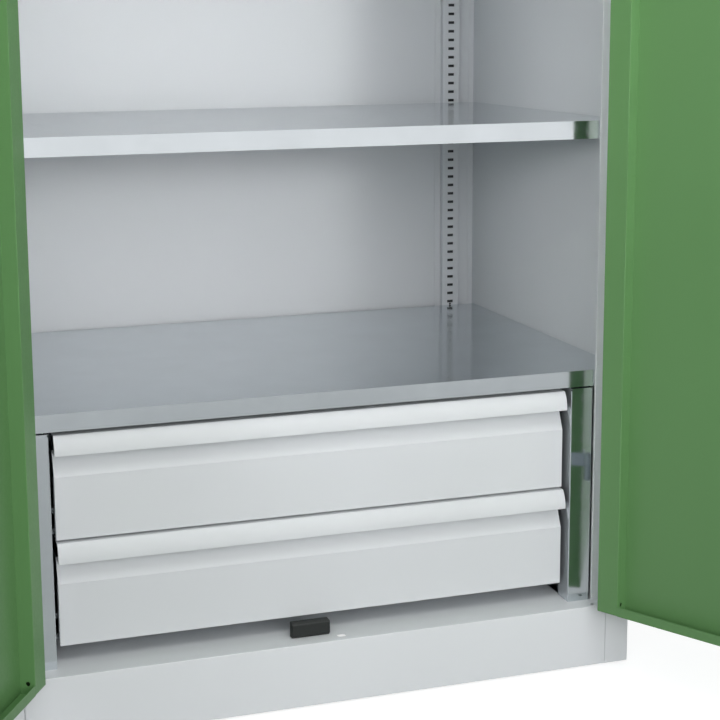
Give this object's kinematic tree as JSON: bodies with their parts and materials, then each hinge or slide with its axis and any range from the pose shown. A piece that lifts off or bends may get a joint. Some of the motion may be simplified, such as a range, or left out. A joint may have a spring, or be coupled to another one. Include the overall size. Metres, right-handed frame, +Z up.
{
  "type": "storage cabinet",
  "caption": "Tall steel cabinet with two hinged doors, galvanised shelves on slotted uprights, drawers on telescopic slides under a fixed shelf, and a lever lock with vertical rods.",
  "frame": {"origin": "on the floor, under the middle of the body's width and depth", "axes": "+X to the right seen from the front, +Y from the front to the back, +Z up"},
  "size_m": [1.2847, 1.0064, 1.95],
  "materials": {
    "body_grey": "light grey powder coat, satin",
    "drawer_grey": "light grey powder coat, satin",
    "galvanised": "hot-dip galvanised, bright",
    "zinc_plated": "zinc plated",
    "door_green": "reseda green powder coat, satin",
    "black_rubber": "matt",
    "black_plastic": "fine grain",
    "nickel": "nickel plated"
  },
  "bodies": {
    "body": {"side_wall_left": "body_grey", "side_wall_right": "body_grey", "back_wall": "body_grey", "top_panel": "body_grey", "floor_plate": "body_grey", "upright_rear_left": "body_grey", "upright_rear_right": "body_grey", "rail_front_left": "body_grey", "rail_front_right": "body_grey", "drawer_cover_shelf": "galvanised", "shelf_1": "galvanised", "shelf_2": "galvanised", "shelf_3": "galvanised", "shelf_clips": "zinc_plated", "drawer_cheek_left": "galvanised", "drawer_cheek_right": "galvanised", "slide_carriers_left": "zinc_plated", "slide_carriers_right": "zinc_plated", "slide_outer_left": "zinc_plated", "slide_outer_right": "zinc_plated", "hinge_frame_leaves_left": "zinc_plated", "hinge_frame_leaves_right": "zinc_plated", "hinge_pins_left": "zinc_plated", "hinge_pins_right": "zinc_plated", "door_buffer": "black_rubber", "glides": "black_plastic"},
    "door_right": {"door_right_panel": "door_green", "door_right_hinge_box": "door_green", "hinge_door_leaves_right": "zinc_plated", "handle_plate": "black_plastic", "lock_rod_guides": "black_plastic"},
    "door_left": {"door_left_panel": "door_green", "door_left_hinge_box": "door_green", "door_left_strike_strip": "door_green", "hinge_door_leaves_left": "zinc_plated"},
    "slide_upper": {"slide_mid_upper": "zinc_plated"},
    "slide_lower": {"slide_mid_lower": "zinc_plated"},
    "drawer_upper": {"slide_inner_upper": "zinc_plated", "drawer_front_upper": "drawer_grey", "drawer_tray_upper": "galvanised"},
    "drawer_lower": {"slide_inner_lower": "zinc_plated", "drawer_front_lower": "drawer_grey", "drawer_tray_lower": "galvanised"},
    "handle": {"handle_lever": "black_plastic", "lock_crank": "zinc_plated"},
    "key_cylinder": {"lock_cylinder": "nickel"},
    "rod_upper": {"lock_rod_upper": "zinc_plated"},
    "rod_lower": {"lock_rod_lower": "zinc_plated"}
  },
  "joints": [
    {"name": "right_door_hinge", "type": "hinge", "parent": "body", "child": "door_right", "pos_m": [0.4268, -0.308, 1], "axis": [0, 0, 1], "range_deg": [-120, 0]},
    {"name": "left_door_hinge", "type": "hinge", "parent": "body", "child": "door_left", "pos_m": [-0.4268, -0.308, 1], "axis": [0, 0, -1], "range_deg": [-120, 0]},
    {"name": "drawer_upper_slide", "type": "slide", "parent": "body", "child": "drawer_upper", "axis": [0, -1, 0], "range_m": [0, 0.44]},
    {"name": "drawer_lower_slide", "type": "slide", "parent": "body", "child": "drawer_lower", "axis": [0, -1, 0], "range_m": [0, 0.44]},
    {"name": "mid_upper_slide", "type": "slide", "parent": "body", "child": "slide_upper", "axis": [0, -1, 0], "range_m": [0, 0.22]},
    {"name": "mid_lower_slide", "type": "slide", "parent": "body", "child": "slide_lower", "axis": [0, -1, 0], "range_m": [0, 0.22]},
    {"name": "handle_turn", "type": "hinge", "parent": "door_right", "child": "handle", "pos_m": [0.62327, -0.6643, 1.06], "axis": [0.866, 0.5, 0], "range_deg": [-90, 0]},
    {"name": "key_turn", "type": "hinge", "parent": "door_right", "child": "key_cylinder", "pos_m": [0.62327, -0.6643, 1], "axis": [0.866, 0.5, 0], "range_deg": [0, 90]},
    {"name": "rod_upper_slide", "type": "slide", "parent": "door_right", "child": "rod_upper", "axis": [0, 0, 1], "range_m": [0, 0.0161]},
    {"name": "rod_lower_slide", "type": "slide", "parent": "door_right", "child": "rod_lower", "axis": [0, 0, -1], "range_m": [0, 0.0161]}
  ],
  "couplings": [
    {"joint": "mid_upper_slide", "follows": "drawer_upper_slide", "ratio": 0.5},
    {"joint": "mid_lower_slide", "follows": "drawer_lower_slide", "ratio": 0.5},
    {"joint": "rod_upper_slide", "follows": "handle_turn", "m_per_rad": -0.010186},
    {"joint": "rod_lower_slide", "follows": "handle_turn", "m_per_rad": -0.010186}
  ]
}
